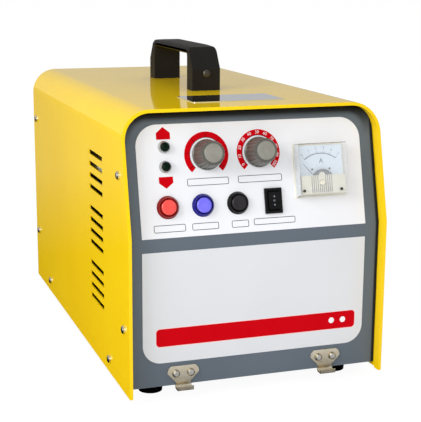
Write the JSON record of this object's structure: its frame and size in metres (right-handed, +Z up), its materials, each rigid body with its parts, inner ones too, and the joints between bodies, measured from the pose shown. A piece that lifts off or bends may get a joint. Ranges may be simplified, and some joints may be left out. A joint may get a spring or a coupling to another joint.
{
  "type": "electrical discharge machine",
  "caption": "Bench power unit of an electrical discharge machine: yellow folded cover, sloping control panel with meter, knobs, buttons and rocker, carrying handle, rear fan.",
  "frame": {"origin": "bottom centre of the box round the unit, on the bench under its feet", "axes": "+X to the right as seen from the front, +Y to the rear, +Z up"},
  "size_m": [0.2294, 0.4, 0.279],
  "materials": {
    "yellow_paint": "gloss",
    "grey_paint": "satin",
    "white_label": "satin film",
    "pale_label": "satin film",
    "bright_plate": "polished",
    "handle_plastic": "moulded",
    "plated_steel": "zinc plated",
    "screw_steel": "nickel plated",
    "foot_rubber": "matte",
    "keeper_nickel": "nickel plated, warm",
    "knob_plastic": "satin, metallic grey",
    "shaft_steel": "turned",
    "pot_metal": "stamped",
    "red_cap": "gloss",
    "red_collar": "gloss",
    "blue_cap": "gloss",
    "blue_collar": "gloss",
    "black_cap": "gloss",
    "black_collar": "gloss",
    "switch_key": "satin",
    "switch_frame": "fine grain",
    "lamp_lens": "clear green, unlit",
    "lamp_bezel": "turned",
    "meter_ivory": "moulded",
    "meter_clear": "clear moulded",
    "dial_white": "matte",
    "movement_metal": "matte",
    "needle_black": "matte",
    "black_screw": "blackened",
    "fan_plastic": "moulded",
    "guard_wire": "plated wire",
    "inlet_plastic": "moulded",
    "socket_nickel": "nickel plated",
    "core_iron": "varnished laminations",
    "coil_copper": "enamelled wire",
    "clamp_zinc": "yellow zinc",
    "board_green": "solder mask",
    "can_sleeve": "shrink sleeve",
    "sink_black": "black anodised",
    "device_black": "epoxy",
    "ceramic": "glazed ceramic",
    "loom_sleeve": "sleeved"
  },
  "bodies": {
    "root": {"cover": "yellow_paint", "front_panel": "grey_paint", "rear_panel": "grey_paint", "base_tray": "grey_paint", "control_overlay": "white_label", "front_overlay": "pale_label", "top_plate": "bright_plate", "handle_grip": "handle_plastic", "handle_brackets": "plated_steel", "handle_screws": "screw_steel", "case_screws": "screw_steel", "foot_screws": "screw_steel", "keeper_screws": "screw_steel", "rear_screws": "screw_steel", "panel_nuts": "screw_steel", "rubber_feet": "foot_rubber", "latch_keepers": "keeper_nickel", "servo_pot": "pot_metal", "current_pot": "pot_metal", "red_button_body": "red_collar", "blue_button_body": "blue_collar", "black_button_body": "black_collar", "manual_switch_body": "switch_frame", "power_switch_body": "switch_frame", "lamp_lenses": "lamp_lens", "lamp_bezels": "lamp_bezel", "meter_case": "meter_ivory", "meter_mask": "meter_ivory", "meter_cover": "meter_clear", "meter_dial": "dial_white", "meter_movement": "movement_metal", "meter_screws": "black_screw", "fan_frame": "fan_plastic", "fan_guard": "guard_wire", "mains_inlet": "inlet_plastic", "fuse_holder": "inlet_plastic", "round_sockets": "socket_nickel", "transformer_core": "core_iron", "transformer_coil": "coil_copper", "transformer_clamps": "clamp_zinc", "power_board": "board_green", "capacitors": "can_sleeve", "heat_sink": "sink_black", "power_devices": "device_black", "discharge_resistors": "ceramic", "resistor_brackets": "plated_steel", "wiring_loom": "loom_sleeve"},
    "servo_knob": {"servo_knob": "knob_plastic", "servo_shaft": "shaft_steel"},
    "current_knob": {"current_knob": "knob_plastic", "current_shaft": "shaft_steel"},
    "red_button": {"red_button": "red_cap"},
    "blue_button": {"blue_button": "blue_cap"},
    "black_button": {"black_button": "black_cap"},
    "manual_rocker": {"manual_rocker": "switch_key"},
    "meter_needle": {"meter_needle": "needle_black"},
    "zero_screw": {"zero_screw": "meter_ivory"},
    "fan_rotor": {"fan_rotor": "fan_plastic"},
    "power_rocker": {"power_rocker": "switch_key"},
    "fuse_cap": {"fuse_cap": "inlet_plastic"}
  },
  "joints": [
    {"name": "servo_turn", "type": "hinge", "parent": "root", "child": "servo_knob", "pos_m": [-0.03952, -0.18247, 0.20248], "axis": [0, -0.9724, 0.2334], "range_deg": [-140, 140]},
    {"name": "current_turn", "type": "hinge", "parent": "root", "child": "current_knob", "pos_m": [0.0056, -0.18247, 0.20248], "axis": [0, -0.9724, 0.2334], "range_deg": [-140, 140]},
    {"name": "red_press", "type": "slide", "parent": "root", "child": "red_button", "axis": [0, 0.9724, -0.2334], "range_m": [0, 0.003], "stiffness_N_per_m": 500, "springref_m": -0.0012},
    {"name": "blue_press", "type": "slide", "parent": "root", "child": "blue_button", "axis": [0, 0.9724, -0.2334], "range_m": [0, 0.003], "stiffness_N_per_m": 500, "springref_m": -0.0012},
    {"name": "black_press", "type": "slide", "parent": "root", "child": "black_button", "axis": [0, 0.9724, -0.2334], "range_m": [0, 0.003], "stiffness_N_per_m": 500, "springref_m": -0.0012},
    {"name": "manual_rock", "type": "hinge", "parent": "root", "child": "manual_rocker", "pos_m": [0.01553, -0.1832, 0.16087], "axis": [1, 0, 0], "range_deg": [-12, 12], "stiffness_Nm_per_rad": 0.05},
    {"name": "needle_swing", "type": "hinge", "parent": "root", "child": "meter_needle", "pos_m": [0.05652, -0.18425, 0.17363], "axis": [0, 0.9724, -0.2334], "range_deg": [0, 84], "stiffness_Nm_per_rad": 0.00005, "springref_deg": -17.19},
    {"name": "zero_turn", "type": "hinge", "parent": "root", "child": "zero_screw", "pos_m": [0.05652, -0.19106, 0.17526], "axis": [0, -0.9724, 0.2334], "range_deg": [-30, 30]},
    {"name": "fan_spin", "type": "hinge", "parent": "root", "child": "fan_rotor", "pos_m": [-0.05328, 0.175, 0.16508], "axis": [0, 1, 0], "continuous": true},
    {"name": "power_rock", "type": "hinge", "parent": "root", "child": "power_rocker", "pos_m": [0.00666, 0.1886, 0.0542], "axis": [1, 0, 0], "range_deg": [0, 24]},
    {"name": "fuse_turn", "type": "hinge", "parent": "root", "child": "fuse_cap", "pos_m": [0.0444, 0.188, 0.0542], "axis": [0, 1, 0], "range_deg": [0, 90]}
  ]
}
